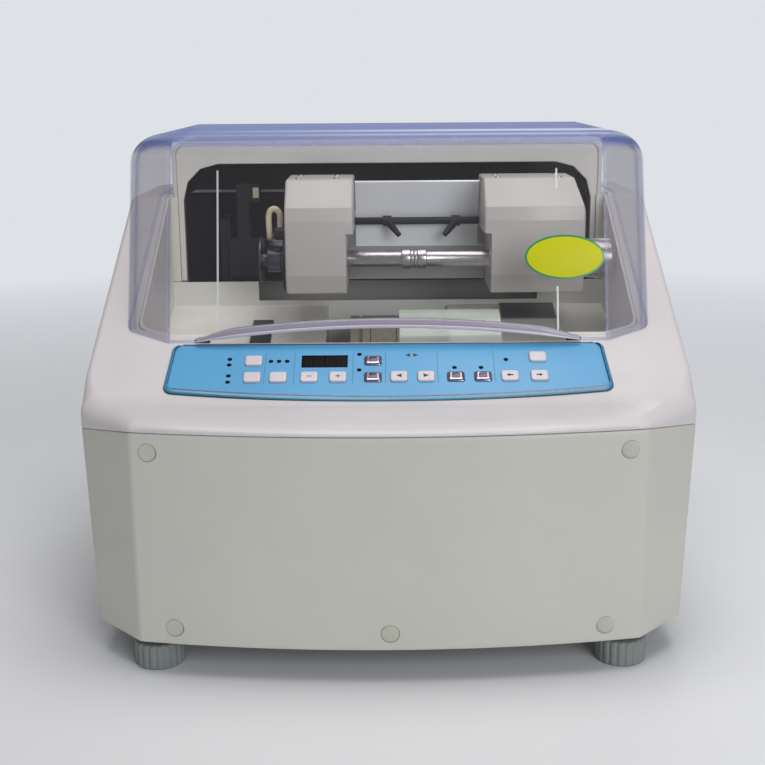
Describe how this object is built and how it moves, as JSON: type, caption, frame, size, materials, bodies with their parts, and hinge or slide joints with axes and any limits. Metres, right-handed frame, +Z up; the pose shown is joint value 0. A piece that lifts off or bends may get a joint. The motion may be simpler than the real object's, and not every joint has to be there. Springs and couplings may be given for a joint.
{
  "type": "automatic lens edger",
  "caption": "Bench lens edger: grey housing and white shell, sloping blue key panel, clear hinged hood over a swinging lens head with chucks and grinding wheels.",
  "frame": {"origin": "middle of the footprint, on the floor that the feet stand on", "axes": "+X to the right as one faces the panel, +Y to the back, +Z up"},
  "size_m": [0.488, 0.462, 0.4145],
  "materials": {
    "cover_white": "satin moulded shell",
    "housing_grey": "fine textured paint",
    "tub_grey": "smooth moulding",
    "clear_hood": "clear tinted acrylic",
    "clear_sheet": "clear acrylic sheet",
    "handle_grey": "two-tone moulded strip",
    "panel_blue": "printed film, bare of words",
    "trim_dark": "dark plated moulding",
    "key_pale": "pale moulded key",
    "key_chrome": "plated key",
    "display_black": "dark display window",
    "board_green": "circuit board",
    "steel": "turned steel",
    "zinc_plate": "zinc plated sheet",
    "cast_alloy": "cast and milled",
    "black_part": "black moulding",
    "motor_black": "black enamel",
    "rubber": "matt rubber",
    "pipe_beige": "preformed pipe",
    "wheel_grit": "bonded abrasive on a metal core",
    "foot_grey": "fluted moulding on a steel stud"
  },
  "bodies": {
    "base": {"base_plate": "zinc_plate", "lower_housing": "housing_grey", "rear_panel": "zinc_plate", "top_cover": "cover_white", "panel_bezel": "trim_dark", "panel_overlay": "panel_blue", "display_window": "display_black", "key_board": "board_green", "chamber_tub": "tub_grey", "back_shroud": "tub_grey", "splash_guard": "clear_sheet", "mechanism_frame": "cast_alloy", "guide_shaft": "steel", "spindle_housing": "cast_alloy", "main_motor": "motor_black", "drive_belt": "rubber", "drain_pipe": "black_part", "power_inlet": "black_part", "sizing_column": "black_part", "hood_hinge_rod": "steel"},
    "hood": {"hood": "clear_hood", "hood_handle": "handle_grey"},
    "carriage": {"carriage_block": "cast_alloy"},
    "head": {"head_frame": "cast_alloy", "left_head_cover": "cover_white", "right_head_cover": "cover_white", "head_side_plate": "black_part", "splash_shield": "clear_sheet", "coolant_manifold": "black_part", "clamp_motor": "steel", "coolant_pipe": "pipe_beige"},
    "left_chuck": {"left_lens_shaft": "steel", "pattern_holder": "steel"},
    "quill": {"clamp_quill": "steel"},
    "right_chuck": {"right_lens_shaft": "steel"},
    "spindle": {"grinding_spindle": "steel", "rough_wheel": "wheel_grit", "finish_wheel": "wheel_grit", "bevel_wheel": "wheel_grit", "spindle_pulley": "black_part"},
    "motor_rotor": {"motor_pulley": "black_part"},
    "rocker": {"power_rocker": "rubber"},
    "key_program": {"key_program": "key_pale"},
    "key_mode": {"key_mode": "key_pale"},
    "key_material": {"key_material": "key_pale"},
    "key_minus": {"key_minus": "key_pale"},
    "key_plus": {"key_plus": "key_pale"},
    "key_set": {"key_set": "key_chrome"},
    "key_memory": {"key_memory": "key_chrome"},
    "key_bevel_left": {"key_bevel_left": "key_pale"},
    "key_bevel_right": {"key_bevel_right": "key_pale"},
    "key_start": {"key_start": "key_chrome"},
    "key_stop": {"key_stop": "key_chrome"},
    "key_feed_left": {"key_feed_left": "key_pale"},
    "key_feed_right": {"key_feed_right": "key_pale"},
    "key_clamp": {"key_clamp": "key_pale"},
    "front_left_foot": {"front_left_foot": "foot_grey"},
    "front_right_foot": {"front_right_foot": "foot_grey"},
    "rear_left_foot": {"rear_left_foot": "foot_grey"},
    "rear_right_foot": {"rear_right_foot": "foot_grey"}
  },
  "joints": [
    {"name": "hood_hinge", "type": "hinge", "parent": "base", "child": "hood", "pos_m": [0, 0.189, 0.388], "axis": [-1, 0, 0], "range_deg": [0, 72]},
    {"name": "carriage_slide", "type": "slide", "parent": "base", "child": "carriage", "axis": [1, 0, 0], "range_m": [-0.036, 0]},
    {"name": "head_swing", "type": "hinge", "parent": "carriage", "child": "head", "pos_m": [0, 0.141, 0.299], "axis": [1, 0, 0], "range_deg": [-4, 16]},
    {"name": "left_shaft_spin", "type": "hinge", "parent": "head", "child": "left_chuck", "pos_m": [0.024, 0.014, 0.299], "axis": [1, 0, 0], "continuous": true},
    {"name": "clamp_slide", "type": "slide", "parent": "head", "child": "quill", "axis": [1, 0, 0], "range_m": [0, 0.022]},
    {"name": "right_shaft_spin", "type": "hinge", "parent": "quill", "child": "right_chuck", "pos_m": [0.024, 0.014, 0.299], "axis": [1, 0, 0], "continuous": true},
    {"name": "spindle_spin", "type": "hinge", "parent": "base", "child": "spindle", "pos_m": [0, 0.017, 0.195], "axis": [1, 0, 0], "continuous": true},
    {"name": "motor_spin", "type": "hinge", "parent": "base", "child": "motor_rotor", "pos_m": [0, 0.017, 0.088], "axis": [1, 0, 0], "continuous": true},
    {"name": "rocker_tilt", "type": "hinge", "parent": "base", "child": "rocker", "pos_m": [-0.1125, 0.2284, 0.082], "axis": [-1, 0, 0], "range_deg": [0, 12]},
    {"name": "key_program_press", "type": "slide", "parent": "base", "child": "key_program", "axis": [0, 0.4818, -0.8763], "range_m": [0, 0.001], "stiffness_N_per_m": 800},
    {"name": "key_mode_press", "type": "slide", "parent": "base", "child": "key_mode", "axis": [0, 0.4818, -0.8763], "range_m": [0, 0.001], "stiffness_N_per_m": 800},
    {"name": "key_material_press", "type": "slide", "parent": "base", "child": "key_material", "axis": [0, 0.4818, -0.8763], "range_m": [0, 0.001], "stiffness_N_per_m": 800},
    {"name": "key_minus_press", "type": "slide", "parent": "base", "child": "key_minus", "axis": [0, 0.4818, -0.8763], "range_m": [0, 0.001], "stiffness_N_per_m": 800},
    {"name": "key_plus_press", "type": "slide", "parent": "base", "child": "key_plus", "axis": [0, 0.4818, -0.8763], "range_m": [0, 0.001], "stiffness_N_per_m": 800},
    {"name": "key_set_press", "type": "slide", "parent": "base", "child": "key_set", "axis": [0, 0.4818, -0.8763], "range_m": [0, 0.001], "stiffness_N_per_m": 800},
    {"name": "key_memory_press", "type": "slide", "parent": "base", "child": "key_memory", "axis": [0, 0.4818, -0.8763], "range_m": [0, 0.001], "stiffness_N_per_m": 800},
    {"name": "key_bevel_left_press", "type": "slide", "parent": "base", "child": "key_bevel_left", "axis": [0, 0.4818, -0.8763], "range_m": [0, 0.001], "stiffness_N_per_m": 800},
    {"name": "key_bevel_right_press", "type": "slide", "parent": "base", "child": "key_bevel_right", "axis": [0, 0.4818, -0.8763], "range_m": [0, 0.001], "stiffness_N_per_m": 800},
    {"name": "key_start_press", "type": "slide", "parent": "base", "child": "key_start", "axis": [0, 0.4818, -0.8763], "range_m": [0, 0.001], "stiffness_N_per_m": 800},
    {"name": "key_stop_press", "type": "slide", "parent": "base", "child": "key_stop", "axis": [0, 0.4818, -0.8763], "range_m": [0, 0.001], "stiffness_N_per_m": 800},
    {"name": "key_feed_left_press", "type": "slide", "parent": "base", "child": "key_feed_left", "axis": [0, 0.4818, -0.8763], "range_m": [0, 0.001], "stiffness_N_per_m": 800},
    {"name": "key_feed_right_press", "type": "slide", "parent": "base", "child": "key_feed_right", "axis": [0, 0.4818, -0.8763], "range_m": [0, 0.001], "stiffness_N_per_m": 800},
    {"name": "key_clamp_press", "type": "slide", "parent": "base", "child": "key_clamp", "axis": [0, 0.4818, -0.8763], "range_m": [0, 0.001], "stiffness_N_per_m": 800},
    {"name": "front_left_foot_turn", "type": "hinge", "parent": "base", "child": "front_left_foot", "pos_m": [-0.187, -0.186, 0], "axis": [0, 0, 1], "continuous": true},
    {"name": "front_right_foot_turn", "type": "hinge", "parent": "base", "child": "front_right_foot", "pos_m": [0.187, -0.186, 0], "axis": [0, 0, 1], "continuous": true},
    {"name": "rear_left_foot_turn", "type": "hinge", "parent": "base", "child": "rear_left_foot", "pos_m": [-0.187, 0.186, 0], "axis": [0, 0, 1], "continuous": true},
    {"name": "rear_right_foot_turn", "type": "hinge", "parent": "base", "child": "rear_right_foot", "pos_m": [0.187, 0.186, 0], "axis": [0, 0, 1], "continuous": true}
  ],
  "couplings": [
    {"joint": "right_shaft_spin", "follows": "left_shaft_spin", "ratio": 1},
    {"joint": "motor_spin", "follows": "spindle_spin", "ratio": 0.71429}
  ]
}
